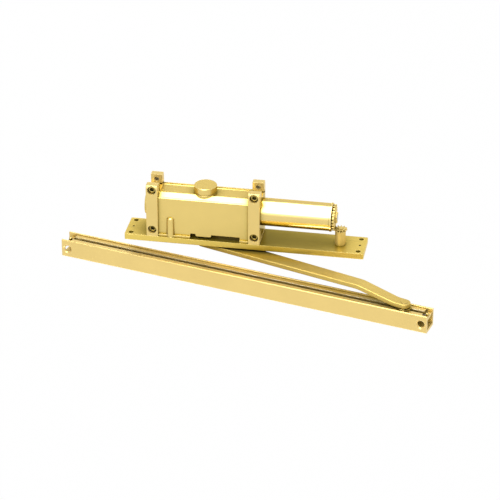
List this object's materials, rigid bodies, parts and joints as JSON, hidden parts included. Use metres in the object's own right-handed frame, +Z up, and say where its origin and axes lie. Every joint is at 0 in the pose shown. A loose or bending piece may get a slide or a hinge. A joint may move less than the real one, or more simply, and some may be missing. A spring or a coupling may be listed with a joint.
{
  "type": "concealed overhead door closer",
  "caption": "Concealed overhead door closer: crowned hydraulic body and spring tube on a flat head plate, with a joggled lever arm whose roller runs in a slide track.",
  "frame": {"origin": "centre of the plate's four corner screws, on the plate's top face, which meets the frame head", "axes": "+X along the plate from the body to the spring adjuster, +Y to the back, +Z up into the frame head"},
  "size_m": [0.57, 0.1588, 0.142],
  "materials": {
    "gold_plate": "gold lacquer over flat steel bar, satin",
    "gold_bracket": "gold lacquer over forged steel, satin",
    "gold_body": "gold lacquer over a smooth iron casting, satin",
    "gold_tube": "gold lacquer over drawn steel tube, glossy",
    "gold_adjuster": "gold-coloured stamped steel, satin",
    "gold_arm": "gold lacquer over flat steel bar, satin",
    "gold_track": "gold lacquer over rolled steel channel, satin",
    "plated_screw": "yellow plated steel",
    "ground_steel": "ground and oiled steel",
    "spring_steel": "oil-tempered spring wire",
    "bronze_bush": "turned bronze",
    "seal_rubber": "black moulded rubber"
  },
  "bodies": {
    "closer": {"main_plate": "gold_plate", "left_bracket": "gold_bracket", "right_bracket": "gold_bracket", "bracket_screws": "plated_screw", "saddle_screws": "plated_screw", "body_casting": "gold_body", "end_plug": "gold_body", "end_plug_seal": "seal_rubber", "pinion_cap": "gold_body", "cap_seal": "seal_rubber", "upper_bearing": "bronze_bush", "lower_bearing": "bronze_bush", "pinion_seal": "seal_rubber", "main_spring": "spring_steel", "inner_spring": "spring_steel", "spring_tube": "gold_tube", "tube_end_cap": "gold_tube", "adjuster_post": "gold_adjuster"},
    "arm": {"pinion_shaft": "ground_steel", "lever_arm": "gold_arm", "arm_washer": "plated_screw", "arm_screw": "plated_screw", "roller_stud": "gold_arm"},
    "piston": {"piston": "ground_steel", "piston_seal": "seal_rubber", "check_valve": "ground_steel"},
    "glide": {"glide_washer": "plated_screw", "retainer_washer": "plated_screw"},
    "roller": {"track_roller": "ground_steel"},
    "track": {"track_channel": "gold_track", "track_rails": "gold_track", "track_stops": "gold_track", "stop_screws": "plated_screw", "stop_clamps": "plated_screw", "track_bumpers": "seal_rubber"},
    "tension_screw": {"adjusting_screw": "ground_steel", "ring_gear": "gold_adjuster", "ring_locknut": "gold_adjuster"},
    "tension_nut": {"adjusting_nut": "ground_steel"},
    "star": {"star_wheel": "gold_adjuster", "star_shaft": "gold_adjuster"},
    "sweep_needle": {"sweep_valve": "bronze_bush"},
    "latch_needle": {"latch_valve": "bronze_bush"}
  },
  "joints": [
    {"name": "arm_swing", "type": "hinge", "parent": "closer", "child": "arm", "pos_m": [-0.06, 0, 0], "axis": [0, 0, -1], "range_deg": [0, 110], "stiffness_Nm_per_rad": 12, "springref_deg": -57.3},
    {"name": "piston_slide", "type": "slide", "parent": "closer", "child": "piston", "axis": [1, 0, 0], "range_m": [0, 0.0203], "deforming": ["main_spring", "inner_spring"]},
    {"name": "track_swivel", "type": "hinge", "parent": "arm", "child": "glide", "pos_m": [0.2488, -0.11057, -0.032], "axis": [0, 0, 1], "continuous": true},
    {"name": "track_slide", "type": "slide", "parent": "glide", "child": "track", "axis": [0.9746, -0.2241, 0], "range_m": [-0.0175, 0.513]},
    {"name": "roller_spin", "type": "hinge", "parent": "glide", "child": "roller", "pos_m": [0.2488, -0.11057, -0.032], "axis": [0, 0, 1], "range_deg": [-95, 2740]},
    {"name": "tension_turn", "type": "hinge", "parent": "closer", "child": "tension_screw", "pos_m": [0, 0, 0.043], "axis": [1, 0, 0], "range_deg": [0, 2885]},
    {"name": "star_turn", "type": "hinge", "parent": "closer", "child": "star", "pos_m": [0.14, 0, 0], "axis": [0, 0, 1], "range_deg": [-5770, 0]},
    {"name": "nut_slide", "type": "slide", "parent": "closer", "child": "tension_nut", "axis": [-1, 0, 0], "range_m": [0, 0.016], "deforming": ["main_spring", "inner_spring"]},
    {"name": "sweep_valve_turn", "type": "hinge", "parent": "closer", "child": "sweep_needle", "pos_m": [-0.109, -0.0185, 0], "axis": [0, 0, 1], "range_deg": [0, 720]},
    {"name": "latch_valve_turn", "type": "hinge", "parent": "closer", "child": "latch_needle", "pos_m": [-0.109, 0.0185, 0], "axis": [0, 0, 1], "range_deg": [0, 720]}
  ],
  "couplings": [
    {"joint": "piston_slide", "follows": "arm_swing", "m_per_rad": 0.0105},
    {"joint": "roller_spin", "follows": "track_slide", "rad_per_m": 93.023},
    {"joint": "tension_turn", "follows": "nut_slide", "rad_per_m": 3141.6},
    {"joint": "star_turn", "follows": "nut_slide", "rad_per_m": -6283.2}
  ]
}
